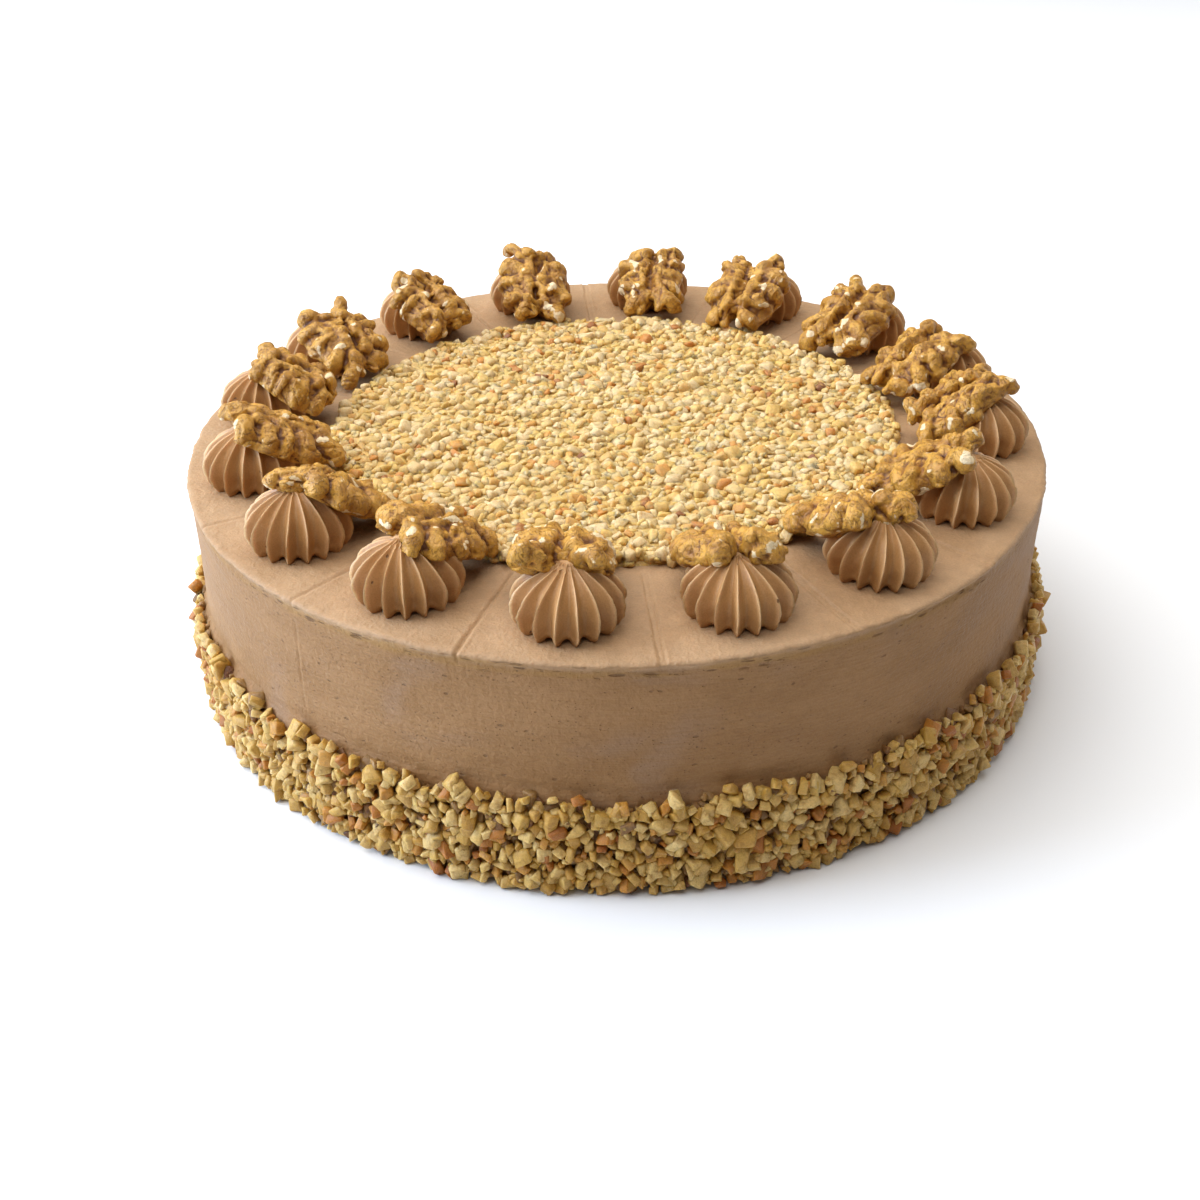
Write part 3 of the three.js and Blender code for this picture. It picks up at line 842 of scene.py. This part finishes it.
def makeWalnut(n):
    s = walnut
    draw = random.Random(300 + n)
    bm = smoothed(fused(walnutLumps(draw), s["voxel"]), 3)
    seed = 12.7 * n
    bm.normal_update()
    for v in bm.verts:
        x, y, z = v.co
        bend = Vector((wave(x / 14, y / 14, seed), wave(y / 14, x / 14, seed + 4),
                       wave(x / 14, y / 14, seed + 9)))
        wrinkle = wrinkleOf(v.co, seed)
        if z < 0:  # the underside is nearly flat
            v.co.z *= 0.4
        v.co += v.normal * wrinkle + s["bend"] * bend
    even = smoothed(bm.copy(), 24)
    bm.normal_update()
    proud = [(v.co - e.co).dot(v.normal) for v, e in zip(bm.verts, even.verts)]
    even.free()
    # some of the proudest places are rubbed bare
    rubbing = [0.8 * min(p, 0.7) + 1.3 * wave(v.co.x / 4.2, v.co.y / 4.2, v.co.z / 4.2 + seed)
               for p, v in zip(proud, bm.verts)]
    bareFrom = sorted(rubbing)[int((1 - s["bareShare"]) * len(rubbing))]
    foldShadingLayer = bm.verts.layers.float.new("foldShading")
    rubLayer = bm.verts.layers.float.new("rub")
    for v, p, rubbed in zip(bm.verts, proud, rubbing):
        # how proud a place is, for a painted highlight on proud places and painted shade in the creases
        v[foldShadingLayer] = ramp(-0.5, 0.2, p)
        v[rubLayer] = min(1, max(0, 0.5 + (rubbed - bareFrom) / 0.5))
    outward, aside, up, turn, slope, size = walnutSeats[n]
    azimuth = portions["firstAzimuth"] + portionAngle * n
    base = onCircle(azimuth, rosette["circle"], frosting["height"] + 0.35)
    seat = Matrix.Translation(base) @ Matrix.Rotation(math.radians(azimuth - 90), 4, "Z")
    seat @= Matrix.Translation((s["circle"] - rosette["circle"] + outward, aside, s["above"] + up))
    seat @= Matrix.Rotation(math.radians(turn), 4, "Z")
    seat @= Matrix.Rotation(math.radians(-slope), 4, "Y") @ Matrix.Scale(size, 4)
    bmesh.ops.transform(bm, matrix=seat, verts=bm.verts[:])
    bmesh.ops.recalc_face_normals(bm, faces=bm.faces[:])
    return bm


def walnutFinish():
    s = walnut
    material, tree, shader = newFinish("walnut kernel", Subsurface_Weight=0.06,
                                       Subsurface_Radius=(1.0, 0.6, 0.25), Subsurface_Scale=0.0015,
                                       Specular_IOR_Level=0.38)
    foldShading = attribute(tree, "foldShading")
    rub = attribute(tree, "rub")
    blotches = grainOf(tree, perMillimetre(5), 4, 0.8)
    patch = remap(tree, blotches, 0.38, 0.62, -0.3, 0.5)
    # proud places painted lighter: a painted highlight
    proudHighlight = remap(tree, foldShading, 0.5, 0.98, 0, 0.65)
    colour = blendColours(tree, calculate(tree, "ADD", patch, proudHighlight, True), s["skin"], s["skinPaleAndHighlight"])
    # creases darker: partly the skin's own colour, partly painted shade
    colour = blendColours(tree, remap(tree, foldShading, 0.67, 0.12), colour, s["creaseSkinAndShade"])
    veins = grainOf(tree, perMillimetre(2.6), 3, 1.2)
    vein = calculate(tree, "ABSOLUTE", calculate(tree, "SUBTRACT", veins, 0.5))
    vein = remap(tree, vein, 0.0, 0.022, 0.55, 0)
    colour = blendColours(tree, vein, colour, s["vein"])
    ragged = calculate(tree, "MULTIPLY", grainOf(tree, perMillimetre(0.9), 4), 0.7)
    bare = remap(tree, calculate(tree, "ADD", rub, ragged), 0.82, 0.96)
    colour = blendColours(tree, bare, colour, s["flesh"])
    fine = grainOf(tree, perMillimetre(0.5), 3)
    tree.links.new(shaded(tree, colour, fine, 0.93, 1.06), shader.inputs["Base Color"])
    tree.links.new(remap(tree, bare, 0, 1, 0.36, 0.6), shader.inputs["Roughness"])
    height = calculate(tree, "SUBTRACT", calculate(tree, "ADD", fine, veins), vein)
    raised(tree, shader, height, 0.32)
    return material


kernel = walnutFinish()
for n in range(portions["count"]):
    addPiece(makeWalnut(n), f"walnutHalf{n + 1:02d}", kernel, [f"walnut_{n + 1:02d}"])
print("walnuts done")


# Floor, lights and camera.

studio = {  # in metres and watts
    "floorSize": 6, "floorColour": (0.82, 0.82, 0.82, 1), "target": (0, 0, 0.04), "worldStrength": 0.13,
    "above": {"place": (-0.45, 0.2, 1.25), "size": 2.4, "power": 46, "colour": (1, 1, 1)},
    "left": {"place": (-1.4, -0.1, 0.45), "size": 0.9, "power": 32, "colour": (0.54, 0.72, 1.0)},
    "right": {"place": (1.4, 0.8, 0.6), "size": 0.9, "power": 6, "colour": (1, 1, 1)},
}


def addFloor():
    bm = bmesh.new()
    bmesh.ops.create_grid(bm, x_segments=1, y_segments=1, size=studio["floorSize"])
    mesh = bpy.data.meshes.new("floor")
    bm.to_mesh(mesh)
    bm.free()
    material, tree, shader = newFinish("floor", Base_Color=studio["floorColour"], Roughness=0.9)
    mesh.materials.append(material)
    floor = bpy.data.objects.new("floor", mesh)
    bpy.context.scene.collection.objects.link(floor)


def addLight(name, place, size, power, colour):
    data = bpy.data.lights.new(name, "AREA")
    data.shape = "DISK"
    data.size = size
    data.energy = power
    data.color = colour
    light = bpy.data.objects.new(name, data)
    light.location = place
    aim = Vector(studio["target"]) - Vector(place)
    light.rotation_euler = aim.to_track_quat("-Z", "Y").to_euler()
    bpy.context.scene.collection.objects.link(light)


addFloor()
for name in ("above", "left", "right"):
    addLight(name, **studio[name])
world = bpy.data.worlds.new("studio")
world.use_nodes = True
world.node_tree.nodes["Background"].inputs["Color"].default_value = (1, 1, 1, 1)
world.node_tree.nodes["Background"].inputs["Strength"].default_value = studio["worldStrength"]
bpy.context.scene.world = world

# fitted to the photograph: metres and degrees, with the focal length in pixels of its frame
view = {"distance": 0.5138, "elevation": 32.634, "focal": 1527.9, "frame": 1200,
        "pan": -0.629, "tilt": 0.748, "roll": -0.567}


def addCamera():
    s = view
    data = bpy.data.cameras.new("camera")
    data.sensor_width = 36
    data.lens = data.sensor_width * s["focal"] / s["frame"]
    camera = bpy.data.objects.new("camera", data)
    elevation = math.radians(s["elevation"])
    place = Vector((0, -math.cos(elevation), math.sin(elevation))) * s["distance"]
    pan, tilt, roll = (math.radians(s[name]) for name in ("pan", "tilt", "roll"))
    ahead = -place.normalized()
    right = Vector((1, 0, 0))
    up = right.cross(ahead)
    turnedAhead = ahead * math.cos(pan) + right * math.sin(pan)
    right = right * math.cos(pan) - ahead * math.sin(pan)
    ahead = turnedAhead * math.cos(tilt) + up * math.sin(tilt)
    up = up * math.cos(tilt) - turnedAhead * math.sin(tilt)
    turnedRight = right * math.cos(roll) + up * math.sin(roll)
    up = up * math.cos(roll) - right * math.sin(roll)
    aim = Matrix((turnedRight, up, -ahead)).transposed().to_4x4()
    camera.matrix_world = Matrix.Translation(place) @ aim
    bpy.context.scene.collection.objects.link(camera)
    bpy.context.scene.camera = camera


addCamera()
bpy.context.scene.view_settings.view_transform = "Standard"
print("stage done")
